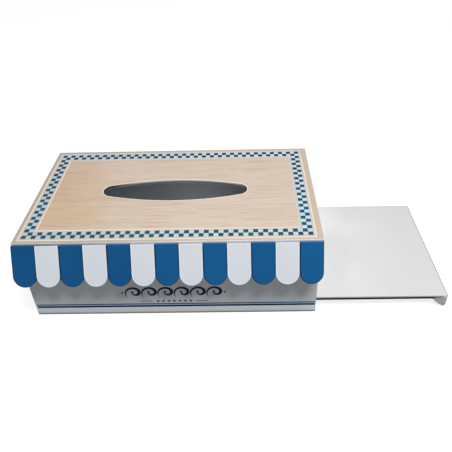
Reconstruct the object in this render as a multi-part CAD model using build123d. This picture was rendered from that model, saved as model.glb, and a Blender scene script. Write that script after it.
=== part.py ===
from build123d import *
import math
import os

# A tissue box whose flat base slides out to the right like a drawer, with a small striped
# awning of round-ended slats along its front. Sizes are in millimetres and degrees. X runs
# along the length, Y from front to back and Z up from the table. The drawer is modelled
# pulled half out, and the origin is the middle of the whole footprint at table height.

# Box
box_height = 90.0              # table to the upper face of the top panel
body_length = 258.0            # outside the end walls
body_depth = 140.0             # outside the front and back walls
wall_thickness = 4.0
wall_corner_radius = 1.0       # rounding of the four upright outer corners

# Top panel and its slot, an oval drawn with four arcs
top_thickness = 3.0
top_end_overhang = 1.8         # past the end walls
top_side_overhang = 1.0        # past the front and back walls
top_corner_radius = 0.8
top_edge_round = 0.5
slot_length = 136.0
slot_width = 31.5
slot_end_radius = 8.0
slot_rim_round = 0.6
slot_offset = 1.0              # middle of the slot behind the middle of the panel

# Awning
slat_count = 13
slat_gap = 0.1                 # hairline joint between neighbours
slat_length = 36.0             # along the slope, with the round end
slat_thickness = 3.0
slat_edge_chamfer = 0.3        # sanded edges of the outer face
awning_lean = 25.0             # from upright
awning_drop = 1.7              # top face of the box to the slats' upper inner edge
awning_clearance = 0.1         # slats' upper inner edge to the edge of the top panel
awning_end_inset = 0.8         # ends of the awning to the ends of the top panel
batten_height = 18.0
batten_end_inset = 3.0         # batten stops short of the awning's ends

# Sliding base
panel_thickness = 4.5
panel_height = 10.0            # table to the underside
panel_edge_round = 0.5
panel_side_clearance = 0.5     # to the front and back walls
panel_stop_clearance = 0.5     # to the left wall when closed
running_clearance = 0.25       # to the runners, the guides and the right wall
drawer_out = 120.8             # how far the drawer stands open

# Finger pull along the base's outer end
pull_width = 6.0               # of its upper face, flush with the panel
pull_reach = 13.2              # how far its back runs in under the panel
pull_foot_clearance = 0.8      # tip to the table
pull_tip_radius = 2.8
pull_bulge = 0.6               # crown of its sloping back
pull_side_clearance = 0.3      # to the front and back walls
pull_corner_radius = 0.9
pull_edge_round = 0.8

# Strips that carry and hold down the sliding base
runner_width = 6.0
runner_height = 5.0
runner_pull_clearance = 2.5    # runner's end to the back of the closed pull
guide_width = 4.0
guide_height = 4.0

# Places that follow from the sizes, in the box's own frame: its middle, at table height
top_length = body_length + 2 * top_end_overhang
top_depth = body_depth + 2 * top_side_overhang
wall_height = box_height - top_thickness
inner_length = body_length - 2 * wall_thickness
inner_depth = body_depth - 2 * wall_thickness
awning_length = top_length - 2 * awning_end_inset
slat_pitch = (awning_length + slat_gap) / slat_count
slat_width = slat_pitch - slat_gap
panel_top = panel_height + panel_thickness
pull_face_x = body_length / 2 + drawer_out
panel_right_x = pull_face_x - pull_width
panel_left_x = drawer_out + panel_stop_clearance - inner_length / 2
slat_edge_y = -top_depth / 2 - awning_clearance
slat_edge_z = box_height - awning_drop

lean = math.radians(awning_lean)
slope_y, slope_z = -math.sin(lean), -math.cos(lean)      # down the awning
outward_y, outward_z = -math.cos(lean), math.sin(lean)   # square to its face

# The footprint runs from the top panel's left edge to the pull, and from the slats' tips to
# the top panel's back edge
awning_front_y = slat_edge_y + slat_length * slope_y + slat_thickness * outward_y
footprint_x = (pull_face_x - top_length / 2) / 2
footprint_y = (top_depth / 2 + awning_front_y) / 2


def block(x_range, y_range, z_range):
    """A plain board between three pairs of limits."""
    sizes = [high - low for low, high in (x_range, y_range, z_range)]
    middle = [(high + low) / 2 for low, high in (x_range, y_range, z_range)]
    return Pos(*middle) * Box(*sizes)


def oval(length, width, end_radius):
    """A flat oval: two tight end arcs joined by two long arcs that are tangent to them."""
    half_length, half_width = length / 2, width / 2
    end_x = half_length - end_radius
    side_radius = (end_x**2 + half_width**2 - end_radius**2) / (2 * (half_width - end_radius))
    side_y = side_radius - half_width
    turn = math.degrees(math.atan2(side_y, end_x))
    with BuildSketch() as sketch:
        with BuildLine():
            CenterArc((end_x, 0), end_radius, -turn, 2 * turn)
            CenterArc((0, -side_y), side_radius, turn, 180 - 2 * turn)
            CenterArc((-end_x, 0), end_radius, 180 - turn, 2 * turn)
            CenterArc((0, side_y), side_radius, 180 + turn, 180 - 2 * turn)
        make_face()
    return sketch.sketch


def top_panel():
    """Board with rounded corners and the oval slot the tissues are pulled through."""
    outline = RectangleRounded(top_length, top_depth, top_corner_radius)
    board = extrude(outline, top_thickness)
    slot = extrude(oval(slot_length, slot_width, slot_end_radius), top_thickness)
    board -= Pos(0, slot_offset, 0) * slot
    upper = board.faces().sort_by(Axis.Z)[-1]
    rim = upper.inner_wires()[0].edges()
    board = fillet(rim, slot_rim_round)
    border = board.faces().sort_by(Axis.Z)[-1].outer_wire().edges()
    board = fillet(border, top_edge_round)
    return Pos(0, 0, wall_height) * board


def long_wall(side):
    """Front (-1) or back (+1) wall, which covers the ends of the end walls."""
    outer_y = side * body_depth / 2
    inner_y = outer_y - side * wall_thickness
    wall = block((-body_length / 2, body_length / 2), sorted((outer_y, inner_y)), (0, wall_height))
    corners = [
        edge
        for edge in wall.edges().filter_by(Axis.Z)
        if abs(edge.center().Y - outer_y) < wall_thickness / 2
    ]
    return fillet(corners, wall_corner_radius)


def end_wall(side):
    """Left (-1) wall, or the right (+1) wall, which stops above the sliding base."""
    outer_x = side * body_length / 2
    inner_x = outer_x - side * wall_thickness
    foot = panel_top + running_clearance if side > 0 else 0
    return block(sorted((outer_x, inner_x)), (-inner_depth / 2, inner_depth / 2), (foot, wall_height))


def runner(side):
    """Strip under the front (-1) or back (+1) edge of the sliding base."""
    wall_y = side * inner_depth / 2
    runner_top = panel_height - running_clearance
    closed_pull_x = body_length / 2 - pull_reach
    return block(
        (-inner_length / 2, closed_pull_x - runner_pull_clearance),
        sorted((wall_y, wall_y - side * runner_width)),
        (runner_top - runner_height, runner_top),
    )


def guide(side):
    """Strip over the front (-1) or back (+1) edge of the sliding base."""
    wall_y = side * inner_depth / 2
    guide_foot = panel_top + running_clearance
    return block(
        (-inner_length / 2, inner_length / 2),
        sorted((wall_y, wall_y - side * guide_width)),
        (guide_foot, guide_foot + guide_height),
    )


def awning_batten():
    """Wedge-section strip on the front wall, whose face lies along the backs of the slats."""
    wall_y = -body_depth / 2
    foot_z = wall_height - batten_height
    lean_ratio = slope_y / slope_z
    head_y = slat_edge_y - (slat_edge_z - wall_height) * lean_ratio
    foot_y = head_y - batten_height * lean_ratio
    section = Polyline(
        (wall_y, wall_height), (head_y, wall_height), (foot_y, foot_z), (wall_y, foot_z), close=True
    )
    length = awning_length - 2 * batten_end_inset
    face = Plane.YZ * make_face(section)
    return Pos(-length / 2, 0, 0) * extrude(face, length, dir=(1, 0, 0))


def awning_slat(index):
    """Round-ended slat, drawn flat, then leant against the batten."""
    radius = slat_width / 2
    straight = slat_length - radius
    with BuildSketch() as outline:
        with BuildLine():
            Line((-radius, 0), (radius, 0))
            Line((radius, 0), (radius, straight))
            CenterArc((0, straight), radius, 0, 180)
            Line((-radius, straight), (-radius, 0))
        make_face()
    slat = extrude(outline.sketch, slat_thickness)
    front_edges = slat.faces().sort_by(Axis.Z)[-1].edges()
    slat = chamfer(front_edges, slat_edge_chamfer)
    middle_x = (index - (slat_count - 1) / 2) * slat_pitch
    place = Plane(
        origin=(middle_x, slat_edge_y, slat_edge_z),
        x_dir=(-1, 0, 0),
        z_dir=(0, outward_y, outward_z),
    )
    return place * slat


def drawer_panel():
    """Flat sliding base, with its long edges eased."""
    half_depth = inner_depth / 2 - panel_side_clearance
    panel = block((panel_left_x, panel_right_x), (-half_depth, half_depth), (panel_height, panel_top))
    return fillet(panel.edges().filter_by(Axis.X), panel_edge_round)


def finger_pull():
    """Moulding whose flat face closes the box's side and whose sloping back takes the fingertips."""
    tip_z = pull_foot_clearance
    back_x = pull_face_x - pull_reach
    tip_x = pull_face_x - pull_tip_radius
    half_length = inner_depth / 2 - pull_side_clearance
    back_run, back_rise = tip_x - back_x, panel_height - tip_z
    back_slant = math.hypot(back_run, back_rise)
    crown = (
        (tip_x + back_x) / 2 - pull_bulge * back_rise / back_slant,
        (tip_z + panel_height) / 2 - pull_bulge * back_run / back_slant,
    )
    with BuildSketch(Plane.XZ) as section:
        with BuildLine():
            Line((panel_right_x, panel_top), (pull_face_x, panel_top))
            Line((pull_face_x, panel_top), (pull_face_x, tip_z + pull_tip_radius))
            RadiusArc((pull_face_x, tip_z + pull_tip_radius), (tip_x, tip_z), pull_tip_radius)
            ThreePointArc((tip_x, tip_z), crown, (back_x, panel_height))
            Line((back_x, panel_height), (panel_right_x, panel_height))
            Line((panel_right_x, panel_height), (panel_right_x, panel_top))
        make_face()
    pull = extrude(section.sketch, half_length, both=True)
    plan = RectangleRounded(2 * pull_reach, 2 * half_length, pull_corner_radius)
    pull &= Pos(back_x, 0, 0) * extrude(plan, panel_top)
    brow = [
        edge
        for edge in pull.faces().sort_by(Axis.Z)[-1].edges()
        if edge.center().X > panel_right_x + pull_edge_round
    ]
    return fillet(brow, pull_edge_round)


nodes = {
    "top_panel": top_panel(),
    "front_wall": long_wall(-1),
    "back_wall": long_wall(+1),
    "left_wall": end_wall(-1),
    "right_wall": end_wall(+1),
    "front_runner": runner(-1),
    "back_runner": runner(+1),
    "front_guide": guide(-1),
    "back_guide": guide(+1),
    "awning_batten": awning_batten(),
    "drawer_panel": drawer_panel(),
    "finger_pull": finger_pull(),
}
for index in range(slat_count):
    nodes[f"awning_slat_{index + 1:02d}"] = awning_slat(index)

os.makedirs("parts", exist_ok=True)
for name, solid in nodes.items():
    export_step(Pos(-footprint_x, -footprint_y, 0) * solid, f"parts/{name}.step")
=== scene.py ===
import math
import bpy
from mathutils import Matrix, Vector


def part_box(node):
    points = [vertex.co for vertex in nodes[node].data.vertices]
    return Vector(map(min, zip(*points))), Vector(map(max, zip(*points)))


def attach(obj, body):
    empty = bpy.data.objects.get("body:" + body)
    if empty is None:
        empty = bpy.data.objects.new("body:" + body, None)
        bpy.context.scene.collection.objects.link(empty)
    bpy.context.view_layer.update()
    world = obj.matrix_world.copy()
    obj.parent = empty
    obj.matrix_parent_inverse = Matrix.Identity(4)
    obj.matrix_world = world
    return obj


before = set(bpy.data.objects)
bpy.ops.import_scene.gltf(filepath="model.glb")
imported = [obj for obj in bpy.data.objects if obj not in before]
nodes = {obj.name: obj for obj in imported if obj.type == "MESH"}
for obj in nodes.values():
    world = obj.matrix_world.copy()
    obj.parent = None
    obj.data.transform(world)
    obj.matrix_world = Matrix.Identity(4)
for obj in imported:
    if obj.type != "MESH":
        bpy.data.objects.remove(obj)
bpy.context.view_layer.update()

# ---------------------------------------------------------------------------------------------
# The four walls. They are 4 mm fibreboard, butted and glued, with the front and back walls over
# the ends of the side walls, and sprayed white inside and out. The right wall stops above the
# sliding base.

wall_roughness = 0.45
wall_easing = 0.0004
inside_lap = 0.0005
cloud_size = 0.06
cloud_spread = (0.35, 0.65)
speck_size = 0.0011
speck_spread = (0.62, 0.74)
speck_strength = 0.25
wear_width = 0.0005
wear_spread = (0.02, 0.25)
wear_spot = 0.004
wear_strength = 0.8
peel_size = 0.0007
peel_depth = 0.00002
sag_size = 0.02
sag_depth = 0.0001
weld_distance = 0.00001
flat_angle = math.radians(1)
edge_angle = math.radians(50)
easing_steps = 3


def tone(red, green, blue):
    """A colour as it is written on a paint card, from 0 to 255."""
    shares = [channel / 255 for channel in (red, green, blue)]
    light = [((share + 0.055) / 1.055) ** 2.4 if share > 0.04 else share / 12.92 for share in shares]
    return light + [1]


white = tone(216, 220, 223)
white_shade = tone(210, 214, 218)
white_edge = tone(204, 204, 200)
inside_lit_white = tone(240, 246, 252)


class Finish:
    """A surface finish, mixed step by step from shares and colours. Its sizes are in metres."""

    def __init__(self, name, roughness, gloss=0.3):
        self.material = bpy.data.materials.new(name)
        self.material.use_nodes = True
        self.nodes = self.material.node_tree.nodes
        self.surface = self.nodes["Principled BSDF"]
        self.surface.inputs["Roughness"].default_value = roughness
        self.surface.inputs["Specular IOR Level"].default_value = gloss
        self.place = self.nodes.new("ShaderNodeTexCoord").outputs["Object"]
        self.normal = None

    def join(self, value, socket):
        """Gives a socket another result, or a plain number or colour."""
        if isinstance(value, bpy.types.NodeSocket):
            self.material.node_tree.links.new(value, socket)
        else:
            socket.default_value = value

    def work_out(self, operation, *values):
        """The result of one sum on numbers or on other results."""
        node = self.nodes.new("ShaderNodeMath")
        node.operation = operation
        for value, socket in zip(values, node.inputs):
            self.join(value, socket)
        return node.outputs[0]

    def plus(self, first, second):
        return self.work_out("ADD", first, second)

    def minus(self, first, second):
        return self.work_out("SUBTRACT", first, second)

    def times(self, first, second):
        return self.work_out("MULTIPLY", first, second)

    def both(self, first, *others):
        """Where all of these shares hold at once: their product."""
        for other in others:
            first = self.times(first, other)
        return first

    def either(self, first, *others):
        """Where any of these shares holds: the largest of them."""
        for other in others:
            first = self.work_out("MAXIMUM", first, other)
        return first

    def without(self, share):
        """Where this share doesn't hold."""
        return self.minus(1.0, share)

    def between(self, share, start, end):
        """The start where the share is 0, the end where it is 1, and in line from one to the other."""
        return self.work_out("MULTIPLY_ADD", share, end - start, start)

    def fade(self, value, start, end):
        """0 up to start, 1 from end on, and a straight fade between them."""
        node = self.nodes.new("ShaderNodeMapRange")
        self.join(value, node.inputs["Value"])
        self.join(start, node.inputs["From Min"])
        self.join(end, node.inputs["From Max"])
        return node.outputs["Result"]

    def stripe(self, value, low, high, soft=0.0001):
        """1 between two limits and 0 outside them, with soft sides."""
        above = self.fade(value, low - soft, low + soft)
        below = self.fade(value, high + soft, high - soft)
        return self.both(above, below)

    def along(self):
        """The three distances of a point from the origin, along X, Y and Z."""
        node = self.nodes.new("ShaderNodeSeparateXYZ")
        self.join(self.place, node.inputs[0])
        return node.outputs

    def cloud(self, length, width=None, detail=3.0):
        """Soft blotches from 0 to 1, mostly near 0.5, so long along X and so wide across it."""
        across = width or length
        stretch = self.nodes.new("ShaderNodeVectorMath")
        stretch.operation = "DIVIDE"
        self.join(self.place, stretch.inputs[0])
        stretch.inputs[1].default_value = (length, across, across)
        noise = self.nodes.new("ShaderNodeTexNoise")
        self.join(stretch.outputs[0], noise.inputs["Vector"])
        noise.inputs["Scale"].default_value = 1.0
        noise.inputs["Detail"].default_value = detail
        return noise.outputs["Fac"]

    def tint(self, share, under, over):
        """The colour over laid on the colour under, by a share from 0 to 1."""
        node = self.nodes.new("ShaderNodeMix")
        node.data_type = "RGBA"
        self.join(share, node.inputs["Factor"])
        self.join(under, node.inputs["A"])
        self.join(over, node.inputs["B"])
        return node.outputs["Result"]

    def edges(self, width):
        """1 along the piece's edges, 0 on its flats."""
        eased = self.nodes.new("ShaderNodeBevel")
        eased.inputs["Radius"].default_value = width
        true = self.nodes.new("ShaderNodeNewGeometry")
        likeness = self.nodes.new("ShaderNodeVectorMath")
        likeness.operation = "DOT_PRODUCT"
        self.join(eased.outputs["Normal"], likeness.inputs[0])
        self.join(true.outputs["Normal"], likeness.inputs[1])
        return self.fade(self.without(likeness.outputs["Value"]), *wear_spread)

    def relief(self, height, depth):
        """Raises and lowers the surface by up to this depth."""
        bump = self.nodes.new("ShaderNodeBump")
        bump.inputs["Distance"].default_value = depth
        self.join(height, bump.inputs["Height"])
        if self.normal:
            self.join(self.normal, bump.inputs["Normal"])
        self.normal = bump.outputs["Normal"]

    def with_colour(self, colour):
        """The finished material, in this colour."""
        self.join(colour, self.surface.inputs["Base Color"])
        if self.normal:
            self.join(self.normal, self.surface.inputs["Normal"])
        return self.material


def sprayed_paint(finish, colour, shade, edge_colour):
    """Sprayed paint: faint clouds, fine orange peel, and board showing through where edges wear."""
    clouds = finish.fade(finish.cloud(cloud_size), *cloud_spread)
    specks = finish.fade(finish.cloud(speck_size), *speck_spread)
    painted = finish.tint(clouds, colour, shade)
    painted = finish.tint(finish.both(specks, speck_strength), painted, shade)
    worn = finish.both(finish.edges(wear_width), finish.cloud(wear_spot), wear_strength)
    painted = finish.tint(worn, painted, edge_colour)
    finish.relief(finish.cloud(peel_size), peel_depth)
    finish.relief(finish.cloud(sag_size), sag_depth)
    return painted


def coat(node, material):
    """Puts a finish on a piece."""
    mesh = nodes[node].data
    mesh.materials.clear()
    mesh.materials.append(material)


def ease(node, radius):
    """Sanded edges on a piece that is cut square."""
    weld = nodes[node].modifiers.new("one skin", "WELD")
    weld.merge_threshold = weld_distance
    flat = nodes[node].modifiers.new("flat faces", "DECIMATE")
    flat.decimate_type = "DISSOLVE"
    flat.angle_limit = flat_angle
    eased = nodes[node].modifiers.new("eased edges", "BEVEL")
    eased.width = radius
    eased.segments = easing_steps
    eased.limit_method = "ANGLE"
    eased.angle_limit = edge_angle
    eased.harden_normals = True


def wall_paint(finish, colour):
    """White paint, made whiter and bluer on the inside of the box as painted light, standing in for the
    light inside it.
    """
    x, y, z = finish.along()
    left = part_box("left_wall")[1].x - inside_lap
    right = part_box("right_wall")[0].x + inside_lap
    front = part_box("front_wall")[1].y - inside_lap
    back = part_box("back_wall")[0].y + inside_lap
    # painted light: the inner faces are whiter and bluer than the outside
    inside = finish.both(finish.stripe(x, left, right), finish.stripe(y, front, back))
    painted = sprayed_paint(finish, colour, white_shade, white_edge)
    return finish.tint(inside, painted, inside_lit_white)


plain_wall = Finish("white_paint_walls", wall_roughness)
box_white = plain_wall.with_colour(wall_paint(plain_wall, white))
for wall in ("back_wall", "left_wall", "right_wall"):
    coat(wall, box_white)
    ease(wall, wall_easing)

# ---------------------------------------------------------------------------------------------
# The printing on the front wall. A thin grey-blue line and a heavier navy one run along its foot,
# with light blue between them and a paler skirting below. It is screen printed on the white paint.

matt_gloss = 0.05
face_depth = 0.0003
skirting_top = 0.0102
skirting_blue_foot = 0.0066
navy_line_width = 0.0022
thin_line_height = 0.0131
thin_line_width = 0.0013
foot_height = 0.0020
left_inset = 0.0018
right_inset = 0.0009
front_white = tone(214, 220, 226)
skirting_blue = tone(232, 244, 254)
skirting_grey = tone(226, 226, 224)
between_blue = tone(172, 206, 232)
line_navy = tone(0, 18, 40)
line_grey_blue = tone(20, 62, 94)
foot_shadow_grey = tone(130, 129, 128)

front_low, front_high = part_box("front_wall")


def printed_wall():
    finish = Finish("printed_front_wall", wall_roughness, matt_gloss)
    painted = wall_paint(finish, front_white)
    x, y, z = finish.along()

    def line(height, width):
        return finish.stripe(z, height - width / 2, height + width / 2)

    on_face = finish.work_out("LESS_THAN", y, front_low.y + face_depth)
    from_left = finish.work_out("GREATER_THAN", x, front_low.x + left_inset)
    from_right = finish.work_out("LESS_THAN", x, front_high.x - right_inset)
    printed = finish.both(from_left, from_right, on_face)

    between = finish.both(finish.stripe(z, skirting_top, thin_line_height), printed)
    painted = finish.tint(between, painted, between_blue)
    skirting = finish.both(finish.work_out("LESS_THAN", z, skirting_top), on_face)
    skirting_colour = finish.tint(
        finish.fade(z, skirting_blue_foot, foot_height), skirting_blue, skirting_grey
    )
    painted = finish.tint(skirting, painted, skirting_colour)
    navy = finish.both(line(skirting_top, navy_line_width), printed)
    painted = finish.tint(navy, painted, line_navy)
    thin = finish.both(line(thin_line_height, thin_line_width), printed)
    painted = finish.tint(thin, painted, line_grey_blue)
    # painted shadow: the lowest millimetres of the wall are darkened grey, for the contact shadow at its
    # foot
    wall_foot_shadow = finish.fade(z, foot_height * 1.5, foot_height * 0.5)
    return finish.with_colour(finish.tint(wall_foot_shadow, painted, foot_shadow_grey))


coat("front_wall", printed_wall())
ease("front_wall", wall_easing)

# ---------------------------------------------------------------------------------------------
# The running waves. A row of six curling waves is printed in thick navy ink on the front wall,
# under the awning, with a ball at each end and a row of small diamonds between two short rules.

wave_count = 6
wave_pitch = 0.0147
wave_lean = 0.0016
wave_centre_z = 0.0280
wave_turns = (math.radians(222), math.radians(-235))
wave_reach = (0.0096, 0.0017)
wave_stroke = 0.0030
wave_swell = 0.8
wave_hairline = 0.00008
wave_tip = 0.0015
wave_tip_share = 0.06
wave_steps = 44
ink_build = 0.00005
ball_radius = 0.0010
ball_gap = 0.0022
diamond_row_z = 0.0168
diamond_width = 0.0028
diamond_pitch = 0.0050
diamond_count = 7
rule_length = 0.0110
rule_height = 0.0006
ink_roughness = 0.5
ink_wear = 0.0012
ink_wear_spread = (0.5, 0.8)
ink_grain = 0.0005
wave_navy = tone(10, 26, 50)
wave_navy_worn = tone(30, 50, 76)

print_middle_x = (front_low.x + front_high.x) / 2


def wave_outline(middle_x, middle_z):
    """One wave: a spiral stroke that swells over the crest and ends in a small ball."""
    outer, inner = [], []
    for step in range(wave_steps + 1):
        share = step / wave_steps
        turn = wave_turns[0] + (wave_turns[1] - wave_turns[0]) * share
        reach = wave_reach[0] * (wave_reach[1] / wave_reach[0]) ** share
        half_stroke = wave_stroke * math.sin(math.pi * share**wave_swell) / 2
        from_ball = (1 - wave_tip_share - share) / wave_tip_share
        ball = wave_tip * math.sqrt(max(0.0, 1 - from_ball**2))
        half = max(half_stroke, ball, wave_hairline)
        for side, points in ((1, outer), (-1, inner)):
            radius = reach + side * half
            points.append((middle_x + radius * math.cos(turn), middle_z + radius * math.sin(turn)))
    return inner + outer[::-1]


def disc_outline(middle_x, middle_z, radius, corners=20):
    turns = [math.tau * corner / corners for corner in range(corners)]
    return [(middle_x + radius * math.cos(turn), middle_z + radius * math.sin(turn)) for turn in turns]


def printed_shapes(name, outlines, material):
    """Flat shapes of thick ink, each a thin closed slab on the front wall's face. An outline goes
    out along one side and comes back along the other, and strips join the two sides."""
    points, faces = [], []
    for outline in outlines:
        first, count = len(points), len(outline)
        points += [(x, front_low.y, z) for x, z in outline]
        points += [(x, front_low.y - ink_build, z) for x, z in outline]
        for index in range(count // 2 - 1):
            strip = [index, index + 1, count - 2 - index, count - 1 - index]
            faces.append([first + corner for corner in strip[::-1]])
            faces.append([first + count + corner for corner in strip])
        for index in range(count):
            after = (index + 1) % count
            faces.append([first + corner for corner in (index, after, after + count, index + count)])
    mesh = bpy.data.meshes.new(name)
    mesh.from_pydata(points, [], faces)
    mesh.materials.append(material)
    piece = bpy.data.objects.new(name, mesh)
    bpy.context.scene.collection.objects.link(piece)
    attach(piece, "box")


def thick_ink():
    finish = Finish("printed_wave_ink", ink_roughness, matt_gloss)
    worn = finish.fade(finish.cloud(ink_wear), *ink_wear_spread)
    finish.relief(finish.cloud(ink_grain), peel_depth)
    return finish.with_colour(finish.tint(worn, wave_navy, wave_navy_worn))


first_wave_x = print_middle_x - wave_pitch * (wave_count - 1) / 2 + wave_lean
shapes = [wave_outline(first_wave_x + wave_pitch * wave, wave_centre_z) for wave in range(wave_count)]
for number in range(diamond_count):
    middle_x = print_middle_x + diamond_pitch * (number - (diamond_count - 1) / 2)
    shapes.append(disc_outline(middle_x, diamond_row_z, diamond_width / 2, corners=4))
for side in (-1, 1):
    row_end = print_middle_x + side * (wave_pitch * wave_count / 2 + ball_gap)
    shapes.append(disc_outline(row_end, wave_centre_z, ball_radius))
    near = print_middle_x + side * diamond_pitch * (diamond_count + 1) / 2
    left, right = sorted((near, near + side * rule_length))
    low, high = diamond_row_z - rule_height / 2, diamond_row_z + rule_height / 2
    shapes.append([(left, low), (right, low), (right, high), (left, high)])
printed_shapes("running_waves", shapes, thick_ink())

# ---------------------------------------------------------------------------------------------
# Runner and guide strips. They are bare softwood, glued along the front and back walls, and the
# sliding base runs between them.

strip_roughness = 0.7
strip_easing = 0.0003
ring_length = 0.09
ring_width = 0.0016
strip_fibre_length = 0.02
strip_fibre_width = 0.0003
strip_fibre_spread = (0.5, 0.8)
strip_grain_depth = 0.00008
strip_light = tone(214, 190, 152)
strip_dark = tone(184, 150, 108)


def bare_softwood():
    finish = Finish("bare_softwood", strip_roughness)
    rings = finish.fade(finish.cloud(ring_length, ring_width), *cloud_spread)
    fibres = finish.cloud(strip_fibre_length, strip_fibre_width)
    wood = finish.tint(rings, strip_light, strip_dark)
    wood = finish.tint(finish.fade(fibres, *strip_fibre_spread), wood, strip_dark)
    finish.relief(fibres, strip_grain_depth)
    return finish.with_colour(wood)


softwood = bare_softwood()
for strip in ("front_runner", "back_runner", "front_guide", "back_guide"):
    coat(strip, softwood)
    ease(strip, strip_easing)

# ---------------------------------------------------------------------------------------------
# The top board. It is 3 mm board faced with pale beech, with its edges painted a greyish white,
# and a border of two rows of small checks is printed round it between two cream lines. A cream
# line runs round the slot too, and is partly a painted highlight on its rounded rim. The board's
# left side is darker by painted shade.

board_roughness = 0.5
soft_edge = 0.0002
beech_left_shaded = tone(205, 177, 152)
beech_right = tone(214, 197, 182)
beech_dark = tone(186, 158, 136)
beech_gold = tone(206, 182, 144)
beech_pale = tone(222, 208, 191)
left_to_right = (-0.075, 0.0)
drift_size = 0.05
drift_reach = 0.1
front_part = (0.01, -0.04)
gold_side = (0.0, -0.06)
gold_length = 0.05
gold_width = 0.02
gold_spread = (0.3, 0.7)
gold_strength = 0.9
pale_side = (-0.02, 0.02)
pale_strength = 0.3
fibre_length = 0.014
fibre_width = 0.00035
fibre_spread = (0.5, 0.75)
fibre_strength = 0.16
fibre_depth = 0.00004

# bands, streaks and flecks of grain: each one's length, width and detail, where in its cloud it
# starts and is full, and how dark it is
grain_layers = (
    (0.160, 0.0120, 2.0, 0.45, 0.75, 0.30),
    (0.045, 0.0018, 4.0, 0.50, 0.75, 0.62),
    (0.016, 0.0010, 1.0, 0.60, 0.72, 0.50),
)

checks_long = 59
checks_deep = 31
border_rows = 2
border_length = 0.247
border_shift = (-0.00105, -0.00025)
line_width = 0.0009
line_softness = 0.0008
outer_line_gap = 0.0018
inner_line_gap = 0.0014
left_shade = (0.02, -0.06)
left_check_shade = 0.35
veil_strength = 0.75
ground_strength = 0.85
pale_check_strength = 0.85
dark_check_cover = 0.90
teal_spread = (0.2, 1.0)
navy_part = (-0.4, 0.8)
navy_strength = 0.9
grey_line_reach = 1.4
ink_speck = 0.0009
ink_speck_spread = (0.25, 0.45)
ink_depth = 0.00002
margin_shaded_left = tone(174, 169, 162)
margin_right = tone(197, 181, 161)
border_ground = tone(202, 194, 186)
check_light = tone(198, 218, 230)
check_pale = tone(206, 209, 206)
check_shade = tone(158, 160, 158)
check_blue = tone(26, 77, 110)
check_teal = tone(24, 94, 104)
check_navy = tone(22, 42, 58)
cream = tone(238, 230, 218)
line_grey = tone(202, 206, 206)

slot_length = 0.136
slot_width = 0.0315
slot_end_radius = 0.008
slot_offset = 0.001
rim_line = (0.0004, 0.0012)
cut_shadow_side = (-0.04, -0.06)
cut_shadow_top = 0.0010
cut_shadow_foot = 0.0006
cut_light = tone(184, 186, 186)
cut_dark = tone(66, 68, 71)

painted_edge = 0.0005
lap_cloud = 0.03
lap_wander = 0.0004
lap_softness = 0.0003
board_edge = tone(214, 217, 224)
board_edge_shaded_left = tone(192, 195, 200)
board_foot = tone(236, 241, 246)

top_low, top_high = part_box("top_panel")
top_middle = (top_low + top_high) / 2
check = border_length / checks_long
border_width = border_rows * check
half_long = border_length / 2
half_deep = checks_deep * check / 2


def beech_grain(finish, x, y):
    """Beech veneer, redder on the left, where painted shade also darkens it, and golden in front of it,
    with its grain and fibres.
    """
    drift = finish.times(finish.cloud(drift_size), drift_reach)
    wood = finish.tint(finish.fade(finish.plus(x, drift), *left_to_right), beech_left_shaded, beech_right)
    in_front = finish.fade(y, *front_part)
    patches = finish.fade(finish.cloud(gold_length, gold_width), *gold_spread)
    gold = finish.both(in_front, patches, finish.fade(x, *gold_side), gold_strength)
    wood = finish.tint(gold, wood, beech_gold)
    pale = finish.both(in_front, finish.fade(x, *pale_side), pale_strength)
    wood = finish.tint(pale, wood, beech_pale)
    for length, width, detail, start, full, strength in grain_layers:
        lines = finish.fade(finish.cloud(length, width, detail), start, full)
        wood = finish.tint(finish.both(lines, strength), wood, beech_dark)
    fibres = finish.cloud(fibre_length, fibre_width, 2.0)
    dark = finish.both(finish.fade(fibres, *fibre_spread), fibre_strength)
    return finish.tint(dark, wood, beech_dark), fibres


def check_number(finish, place, half):
    """Which check a place falls in, counted from the border's edge."""
    return finish.work_out("FLOOR", finish.work_out("DIVIDE", finish.plus(place, half), check))


def check_colours(finish, column, row, print_y, shaded_left):
    """The pale checks, greyer in front, and greyer on the left by painted shade, and the dark ones,
    each with its own mix of blue and teal, and navy towards the back."""
    in_front = finish.work_out("LESS_THAN", row, border_rows)
    pale = finish.tint(in_front, check_light, check_pale)
    pale = finish.tint(finish.both(shaded_left, left_check_shade), pale, check_shade)
    cell = finish.nodes.new("ShaderNodeCombineXYZ")
    finish.join(column, cell.inputs[0])
    finish.join(row, cell.inputs[1])
    chance = finish.nodes.new("ShaderNodeTexWhiteNoise")
    finish.join(cell.outputs[0], chance.inputs["Vector"])
    dark = finish.tint(finish.fade(chance.outputs["Value"], *teal_spread), check_blue, check_teal)
    far = finish.fade(print_y, navy_part[0] * half_deep, navy_part[1] * half_deep)
    return pale, finish.tint(finish.both(far, navy_strength), dark, check_navy)


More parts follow.
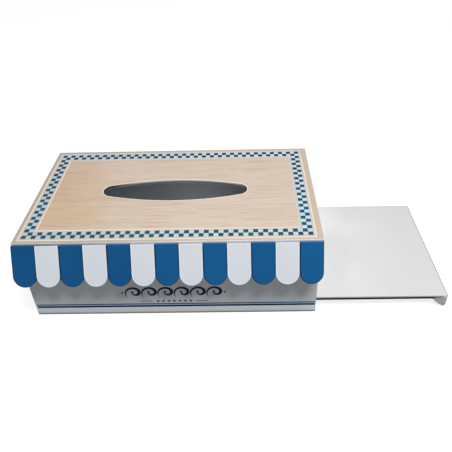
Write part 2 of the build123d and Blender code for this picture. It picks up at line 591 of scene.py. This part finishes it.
def printed_border(finish, x, y, shaded_left, wood):
    """The margin, darker on the left by painted shade, and the border on its pale ground between its
    two lines. The lines are grey at the back, and the inner one on the right too. Also gives the share
    that is dark ink."""
    print_x = finish.minus(x, border_shift[0])
    print_y = finish.minus(y, border_shift[1])
    past_x = finish.minus(finish.work_out("ABSOLUTE", print_x), half_long)
    past_y = finish.minus(finish.work_out("ABSOLUTE", print_y), half_deep)
    past = finish.either(past_x, past_y)
    reach = border_width * grey_line_reach
    at_back = finish.fade(print_y, half_deep - reach, half_deep - reach + line_softness)
    at_right = finish.fade(print_x, half_long - reach, half_long - reach + line_softness)
    inner_line_end = -border_width - inner_line_gap

    veiled = finish.fade(past, outer_line_gap, outer_line_gap + soft_edge)
    margin = finish.tint(shaded_left, margin_right, margin_shaded_left)
    face = finish.tint(finish.both(veiled, veil_strength), wood, margin)
    ground = finish.both(finish.stripe(past, inner_line_end, outer_line_gap), ground_strength)
    face = finish.tint(ground, face, finish.tint(at_back, border_ground, line_grey))

    # a check is dark where its column and row add up to an even number
    column = check_number(finish, print_x, half_long)
    row = check_number(finish, print_y, half_deep)
    odd = finish.work_out("FLOORED_MODULO", finish.plus(column, row), 2.0)
    border = finish.stripe(past, -border_width, 0.0)
    pale, blue = check_colours(finish, column, row, print_y, shaded_left)
    face = finish.tint(finish.both(border, pale_check_strength), face, pale)
    inked = finish.fade(finish.cloud(ink_speck), *ink_speck_spread)
    cover = finish.between(inked, dark_check_cover, 1.0)
    dark = finish.both(finish.without(odd), border, cover)
    face = finish.tint(dark, face, blue)

    outer_line = finish.stripe(past, outer_line_gap, outer_line_gap + line_width)
    face = finish.tint(outer_line, face, finish.tint(at_back, cream, line_grey))
    inner_line = finish.stripe(past, inner_line_end - line_width, inner_line_end)
    inner_colour = finish.tint(finish.either(at_back, at_right), cream, line_grey)
    return finish.tint(inner_line, face, inner_colour), dark


def past_round(finish, across, away, radius):
    """How far a point lies outside a round, from its two distances off the round's middle."""
    squares = finish.work_out("POWER", across, 2.0), finish.work_out("POWER", away, 2.0)
    return finish.minus(finish.work_out("SQRT", finish.plus(*squares)), radius)


def past_slot(finish, x, y):
    """How far a point lies outside the slot, an oval of four arcs."""
    end_x = slot_length / 2 - slot_end_radius
    half_width = slot_width / 2
    side_radius = (end_x**2 + half_width**2 - slot_end_radius**2) / (2 * (half_width - slot_end_radius))
    side_y = side_radius - half_width
    out_x = finish.work_out("ABSOLUTE", x)
    out_y = finish.work_out("ABSOLUTE", finish.minus(y, slot_offset))
    from_side = finish.plus(out_y, side_y)
    past_end = past_round(finish, finish.minus(out_x, end_x), out_y, slot_end_radius)
    past_side = past_round(finish, out_x, from_side, side_radius)
    by_end = finish.work_out("GREATER_THAN", finish.times(out_x, side_y), finish.times(from_side, end_x))
    return finish.plus(finish.times(by_end, past_end), finish.times(finish.without(by_end), past_side))


def cut_slot(finish, x, y, z, face):
    """The cream line round the slot, partly a painted highlight on its rounded rim, and its cut wall, in
    shadow low down and on the left.
    """
    past = past_slot(finish, x, y)
    # cream rim line: print and a painted highlight on the rounded rim together
    face = finish.tint(finish.stripe(past, *rim_line), face, cream)
    cut = finish.fade(past, rim_line[0], rim_line[0] - soft_edge)
    low_down = finish.fade(z, top_high.z - cut_shadow_top, top_low.z + cut_shadow_foot)
    shadow = finish.either(low_down, finish.fade(x, *cut_shadow_side))
    return finish.tint(cut, face, finish.tint(shadow, cut_light, cut_dark))


def painted_edges(finish, x, y, z, shaded_left, face):
    """Paint on the board's underside and edges, where it laps a little over the top, greyer on the left
    by painted shade.
    """
    past_x = finish.minus(finish.work_out("ABSOLUTE", x), (top_high.x - top_low.x) / 2)
    past_y = finish.minus(finish.work_out("ABSOLUTE", y), (top_high.y - top_low.y) / 2)
    wander = finish.times(finish.cloud(lap_cloud), lap_wander)
    lap = finish.plus(finish.either(past_x, past_y), wander)
    lapped = finish.fade(lap, -painted_edge, -painted_edge + lap_softness)
    face = finish.tint(lapped, face, finish.tint(shaded_left, board_edge, board_edge_shaded_left))
    underside = finish.fade(z, top_low.z + soft_edge, top_low.z + soft_edge / 2)
    return finish.tint(underside, face, board_foot), lapped


def printed_beech():
    finish = Finish("printed_beech", board_roughness, matt_gloss)
    scene_x, scene_y, z = finish.along()
    x = finish.minus(scene_x, top_middle.x)
    y = finish.minus(scene_y, top_middle.y)
    # painted shade: the share of darkening towards the board's left side
    shaded_left = finish.fade(x, *left_shade)
    wood, fibres = beech_grain(finish, x, y)
    face, dark = printed_border(finish, x, y, shaded_left, wood)
    face = cut_slot(finish, x, y, z, face)
    face, lapped = painted_edges(finish, x, y, z, shaded_left, face)
    finish.relief(finish.both(fibres, finish.without(lapped)), fibre_depth)
    finish.relief(dark, ink_depth)
    return finish.with_colour(face)


coat("top_panel", printed_beech())

# ---------------------------------------------------------------------------------------------
# The awning. A wedge-section batten is glued to the front wall, and thirteen round-ended slats,
# blue and white by turns, are glued on its sloping face. Their brushed paint carries a painted
# highlight along the sides of the white slats and painted shade along the blue ones, and a
# painted shadow line on their sawn heads by the board, darker on the left.

slat_roughness = 0.42
slat_gloss = 0.12
slat_length = 0.036
slat_thickness = 0.003
slat_lean = math.radians(25)
brush_width = 0.002
brush_length = 0.05
brush_spread = (0.5, 0.8)
brush_strength = 0.10
right_light_strength = 0.35
side_light_width = 0.0009
side_light_softness = 0.0003
side_light_on_right = 0.35
notch_depth = 0.0055
notch_softness = 0.001
head_depth = 0.0003
head_shade_reach = 0.0013
head_shade_reach_left = 0.0025
deep_shade_slats = (4.5, 0.5)
slat_blue = tone(14, 82, 134)
slat_blue_shade = tone(10, 74, 123)
slat_blue_lit_right = tone(28, 106, 163)
slat_blue_edge_and_shade = tone(0, 42, 84)
slat_blue_head_shade = tone(58, 86, 122)
slat_blue_head_deep_shade = tone(36, 62, 94)
slat_white = tone(218, 223, 230)
slat_white_shade = tone(212, 217, 226)
slat_white_lit_right = tone(220, 223, 228)
slat_white_edge_and_highlight = tone(234, 246, 255)
slat_white_head_shade = tone(158, 160, 168)
slat_white_head_deep_shade = tone(14, 18, 30)
notch_navy = tone(4, 16, 36)

coat("awning_batten", box_white)
ease("awning_batten", wall_easing)

slats = sorted(name for name in nodes if name.startswith("awning_slat"))
first_low, first_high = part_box(slats[0])
last_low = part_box(slats[-1])[0]
slat_width = first_high.x - first_low.x
slat_pitch = (last_low.x - first_low.x) / (len(slats) - 1)
slat_top_y = first_high.y
slat_top_z = first_high.z - slat_thickness * math.sin(slat_lean)


def slat_places(finish):
    """A point's place along the awning, counted in slats, and how far it lies from its own slat's
    middle line, from its head, and from its back."""
    x, y, z = finish.along()
    place = finish.work_out("DIVIDE", finish.minus(x, first_low.x), slat_pitch)
    from_side = finish.times(finish.work_out("FRACT", place), slat_pitch)
    off_middle = finish.minus(from_side, slat_width / 2)
    out = finish.minus(y, slat_top_y)
    up = finish.minus(z, slat_top_z)
    lean_y, lean_z = -math.sin(slat_lean), -math.cos(slat_lean)
    from_head = finish.plus(finish.times(out, lean_y), finish.times(up, lean_z))
    off_back = finish.plus(finish.times(out, lean_z), finish.times(up, -lean_y))
    return place, off_middle, from_head, off_back


def slat_paint(name, colour, shade, lit_right_colour, edge_colour, head_shade_colour, deep_head_shade):
    """Brushed paint on a slat, with painted light making it brighter towards the right end of the
    awning, a painted highlight along the sides of white slats and painted shade along blue ones, and a
    painted shadow line on its head.
    """
    finish = Finish(name, slat_roughness, slat_gloss)
    place, off_middle, from_head, off_back = slat_places(finish)
    painted = sprayed_paint(finish, colour, shade, edge_colour)
    strokes = finish.fade(finish.cloud(brush_width, brush_length), *brush_spread)
    painted = finish.tint(finish.both(strokes, brush_strength), painted, edge_colour)
    painted_light_to_right = finish.both(finish.fade(place, 0.0, len(slats) - 1), right_light_strength)
    painted = finish.tint(painted_light_to_right, painted, lit_right_colour)

    # a band inside the outline, a painted highlight on white slats and painted shade on blue ones, and
    # navy on the sides above the notches between the slats
    past_straight = finish.either(finish.minus(from_head, slat_length - slat_width / 2), 0.0)
    past_outline = past_round(finish, off_middle, past_straight, slat_width / 2)
    painted_side_light = finish.fade(
        past_outline, -side_light_width - side_light_softness, -side_light_width + side_light_softness
    )
    on_right = finish.fade(off_middle, -slat_width / 8, slat_width / 4)
    painted_side_light = finish.both(painted_side_light, finish.between(on_right, 1.0, side_light_on_right))
    painted = finish.tint(painted_side_light, painted, edge_colour)
    over_notch = finish.fade(past_straight, notch_depth + notch_softness, notch_depth - notch_softness)
    on_side = finish.fade(past_outline, -soft_edge, -soft_edge / 2)
    painted = finish.tint(finish.both(over_notch, on_side), painted, notch_navy)

    # a painted shadow line on the sawn head, where it is near the board, darker on the left
    left_head_shade = finish.fade(place, *deep_shade_slats)
    shade_reach = finish.between(left_head_shade, head_shade_reach, head_shade_reach_left)
    near_board = finish.work_out("LESS_THAN", off_back, shade_reach)
    on_head = finish.fade(from_head, head_depth + soft_edge / 2, head_depth - soft_edge / 2)
    # painted shade under the board's edge, deepest on the left
    thin = finish.tint(left_head_shade, head_shade_colour, deep_head_shade)
    return finish.with_colour(finish.tint(finish.both(on_head, near_board), painted, thin))


blue_paint = slat_paint(
    "blue_slat_paint",
    colour=slat_blue,
    shade=slat_blue_shade,
    lit_right_colour=slat_blue_lit_right,
    edge_colour=slat_blue_edge_and_shade,
    head_shade_colour=slat_blue_head_shade,
    deep_head_shade=slat_blue_head_deep_shade,
)
white_paint = slat_paint(
    "white_slat_paint",
    colour=slat_white,
    shade=slat_white_shade,
    lit_right_colour=slat_white_lit_right,
    edge_colour=slat_white_edge_and_highlight,
    head_shade_colour=slat_white_head_shade,
    deep_head_shade=slat_white_head_deep_shade,
)
for index, slat in enumerate(slats):
    coat(slat, white_paint if index % 2 else blue_paint)

# ---------------------------------------------------------------------------------------------
# The sliding base. It is a 4.5 mm board, painted white on top, with painted shade down its edges
# and a dark painted shadow along their foot. A moulding is glued along its outer end, which fills
# the gap under the right wall and is pulled by its sloping back.

base_roughness = 0.4
base_white = tone(218, 218, 218)
base_white_lit_near = tone(241, 241, 242)
base_white_shade = tone(218, 218, 218)
base_white_edge = tone(236, 236, 234)
edge_shade_grey = tone(150, 149, 147)
panel_foot_shadow_dark = tone(20, 19, 17)
near_start = 0.01
near_bend = 1.6
edge_depth = 0.0004
foot_shadow_height = 0.0026
foot_shadow_softness = 0.0003
foot_shadow_wander = 0.0003
foot_shadow_cloud = 0.02
pull_clearance = 0.0070
back_arris = 0.0008
back_shade_strength = 0.8
pull_end_grey = tone(198, 199, 194)
pull_end_dark = tone(173, 173, 167)
end_speckle = 0.001
speckle_spread = (0.4, 0.6)
end_depth = 0.0006
pull_shoulder = 0.0052
shoulder_softness = 0.0004
brow_shade_grey = tone(112, 112, 112)
brow_width = 0.0012
brow_shade_strength = 0.9

panel_low, panel_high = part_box("drawer_panel")
pull_low, pull_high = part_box("finger_pull")


def base_paint(finish, x):
    """White paint, brighter towards the box and inside it by painted light, standing in for the light
    the box throws back on it.
    """
    # painted light: the share of brightening towards the box
    near = finish.fade(x, pull_high.x - near_start, front_high.x)
    white_here = finish.tint(finish.work_out("POWER", near, near_bend), base_white, base_white_lit_near)
    return sprayed_paint(finish, white_here, base_white_shade, base_white_edge)


def off_middle_of(finish, y, low, high):
    """How far a point lies from the middle of a piece, to the front or to the back."""
    return finish.work_out("ABSOLUTE", finish.minus(y, (low.y + high.y) / 2))


def panel_paint():
    finish = Finish("white_paint_base", base_roughness, matt_gloss)
    x, y, z = finish.along()
    painted = base_paint(finish, x)
    off_middle = off_middle_of(finish, y, panel_low, panel_high)
    half_depth = (panel_high.y - panel_low.y) / 2
    on_edge = finish.fade(off_middle, half_depth - edge_depth, half_depth)
    foot_shadow_top = panel_low.z + foot_shadow_height
    # painted shade down the faces of the front and back edges, and along the back arris
    thin = finish.both(on_edge, finish.fade(z, panel_high.z - soft_edge, foot_shadow_top))
    at_back = finish.fade(y, panel_high.y - back_arris, panel_high.y - back_arris / 2)
    painted = finish.tint(finish.either(thin, finish.both(at_back, back_shade_strength)), painted, edge_shade_grey)
    # painted shadow: the foot of the edges is near-black for the deep shade under the base, and stops
    # short of the moulding
    height = finish.plus(z, finish.times(finish.cloud(foot_shadow_cloud), foot_shadow_wander))
    bare = finish.fade(height, foot_shadow_top + foot_shadow_softness, foot_shadow_top)
    clear_of_pull = finish.fade(x, panel_high.x - pull_clearance / 2, panel_high.x - pull_clearance)
    return finish.with_colour(finish.tint(finish.both(bare, clear_of_pull), painted, panel_foot_shadow_dark))


def pull_paint():
    """White paint, with painted shade along the rounded outer brow of the moulding, and grey and
    speckled on its ends, but for their outer shoulders."""
    finish = Finish("white_paint_pull", base_roughness, matt_gloss)
    x, y, z = finish.along()
    painted = base_paint(finish, x)
    off_middle = off_middle_of(finish, y, pull_low, pull_high)
    half_length = (pull_high.y - pull_low.y) / 2
    at_end = finish.fade(off_middle, half_length - end_depth, half_length - end_depth / 2)
    from_shoulder = finish.minus(pull_high.x + pull_high.z, finish.plus(x, z))
    below_shoulder = finish.fade(
        from_shoulder, pull_shoulder - shoulder_softness, pull_shoulder + shoulder_softness
    )
    speckles = finish.fade(finish.cloud(end_speckle), *speckle_spread)
    speckled = finish.tint(speckles, pull_end_grey, pull_end_dark)
    painted = finish.tint(finish.both(at_end, below_shoulder), painted, speckled)
    outer = finish.fade(x, pull_high.x - brow_width, pull_high.x - brow_width / 2)
    upper = finish.fade(z, pull_high.z - brow_width, pull_high.z - brow_width / 2)
    return finish.with_colour(finish.tint(finish.both(outer, upper, brow_shade_strength), painted, brow_shade_grey))


coat("drawer_panel", panel_paint())
coat("finger_pull", pull_paint())

# ---------------------------------------------------------------------------------------------
# The photographer's table: a white sheet, one large soft lamp high over the front on the right,
# and a white room round it.

sheet_reach = 3.0
sheet_roughness = 0.9
sheet_grey = tone(146, 146, 146)
sheet_lit_under_box = tone(184, 187, 192)
sheet_glow = 0.83
under_inset = 0.002
room_white = (1, 1, 1, 1)
room_light = 0.19
lamp_place = (0.26, -0.60, 1.42)
lamp_target = (0.0, 0.0, 0.05)
lamp_width = 0.62
lamp_depth = 0.40
lamp_power = 22.0
camera_place = (0.00424, -0.36890, 0.37162)
camera_turn = (56.176, 1.4625, 0.3836)
camera_lens = 39.683
camera_sensor = 36.0
camera_shift = (-0.01371, -0.13621)

sheet_mesh = bpy.data.meshes.new("table_sheet")
corners = [(x * sheet_reach, y * sheet_reach, 0) for x, y in ((-1, -1), (1, -1), (1, 1), (-1, 1))]
sheet_mesh.from_pydata(corners, [], [(0, 1, 2, 3)])
sheet = bpy.data.objects.new("table_sheet", sheet_mesh)
bpy.context.scene.collection.objects.link(sheet)


def seen_ray(tree):
    """1 for what the camera sees directly or by reflection, and 0 for light on its way elsewhere."""
    ray = tree.nodes.new("ShaderNodeLightPath")
    total = ray.outputs["Is Camera Ray"]
    for kind in ("Is Glossy Ray", "Is Transmission Ray"):
        larger = tree.nodes.new("ShaderNodeMath")
        larger.operation = "MAXIMUM"
        tree.links.new(total, larger.inputs[0])
        tree.links.new(ray.outputs[kind], larger.inputs[1])
        total = larger.outputs[0]
    return total


def white_sheet():
    """A sheet that shows white round the box, and not inside it, where the slot looks down on it.
    Under the box it is lighter and bluer, as painted light inside the box.
    """
    finish = Finish("table_sheet", sheet_roughness)
    x, y, z = finish.along()
    under_length = finish.stripe(x, front_low.x + under_inset, front_high.x - under_inset)
    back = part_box("back_wall")[1].y - under_inset
    under_depth = finish.stripe(y, front_low.y + under_inset, back)
    under_box = finish.both(under_length, under_depth)
    glow = finish.both(seen_ray(finish.material.node_tree), finish.without(under_box), sheet_glow)
    finish.join(glow, finish.surface.inputs["Emission Strength"])
    finish.surface.inputs["Emission Color"].default_value = room_white
    return finish.with_colour(finish.tint(under_box, sheet_grey, sheet_lit_under_box))


sheet_mesh.materials.append(white_sheet())

world = bpy.data.worlds.new("white_room")
bpy.context.scene.world = world
world.use_nodes = True
background = world.node_tree.nodes["Background"]
background.inputs["Color"].default_value = room_white
strength = world.node_tree.nodes.new("ShaderNodeMapRange")
strength.inputs["To Min"].default_value = room_light
strength.inputs["To Max"].default_value = 1.0
world.node_tree.links.new(seen_ray(world.node_tree), strength.inputs["Value"])
world.node_tree.links.new(strength.outputs["Result"], background.inputs["Strength"])

lamp = bpy.data.lights.new("key", "AREA")
lamp.shape = "ELLIPSE"
lamp.size = lamp_width
lamp.size_y = lamp_depth
lamp.energy = lamp_power
stand = bpy.data.objects.new("key", lamp)
stand.location = lamp_place
stand.rotation_euler = (Vector(lamp_target) - Vector(lamp_place)).to_track_quat("-Z", "Y").to_euler()
bpy.context.scene.collection.objects.link(stand)

camera = bpy.data.cameras.new("camera")
camera.sensor_width = camera_sensor
camera.lens = camera_lens
camera.shift_x, camera.shift_y = camera_shift
tripod = bpy.data.objects.new("camera", camera)
tripod.location = camera_place
tripod.rotation_euler = [math.radians(angle) for angle in camera_turn]
bpy.context.scene.collection.objects.link(tripod)
bpy.context.scene.camera = tripod
bpy.context.scene.view_settings.view_transform = "Standard"
